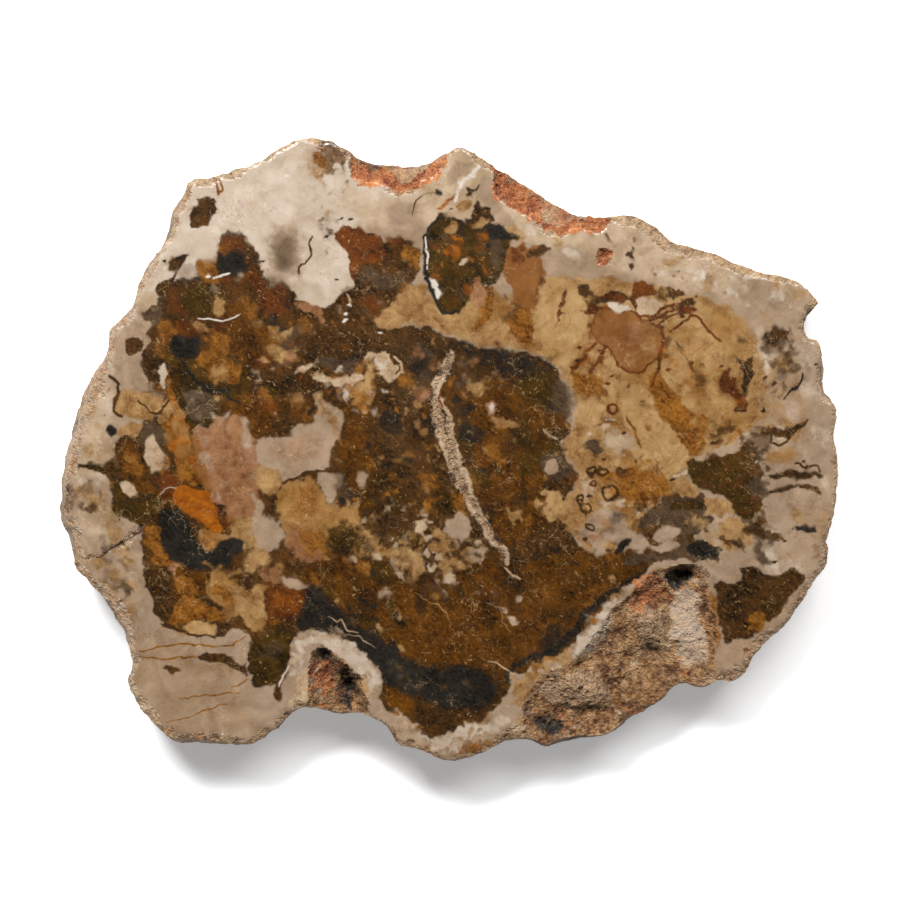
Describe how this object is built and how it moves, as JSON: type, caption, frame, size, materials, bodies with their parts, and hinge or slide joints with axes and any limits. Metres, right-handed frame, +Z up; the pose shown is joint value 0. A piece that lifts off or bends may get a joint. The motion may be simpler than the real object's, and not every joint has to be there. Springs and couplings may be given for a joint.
{
  "type": "petrified wood slice",
  "caption": "Thick cross-cut slab of petrified wood, polished on its upper face, with a rough natural edge and a broken shoulder, lying flat.",
  "frame": {"origin": "middle of the slab's footprint, on the surface that it lies on", "axes": "+X along the slab's longest width, to the right in the picture; +Y away from the viewer, up in the picture; +Z up through the polished face"},
  "size_m": [0.3398, 0.2716, 0.034],
  "materials": {
    "petrified_wood": "polished face with cream rind and brown, amber and near-black agate; rough cream and rust-orange edge and broken surfaces; matte sawn underside"
  },
  "bodies": {
    "root": {"petrified_wood_slice": "petrified_wood"}
  },
  "joints": []
}
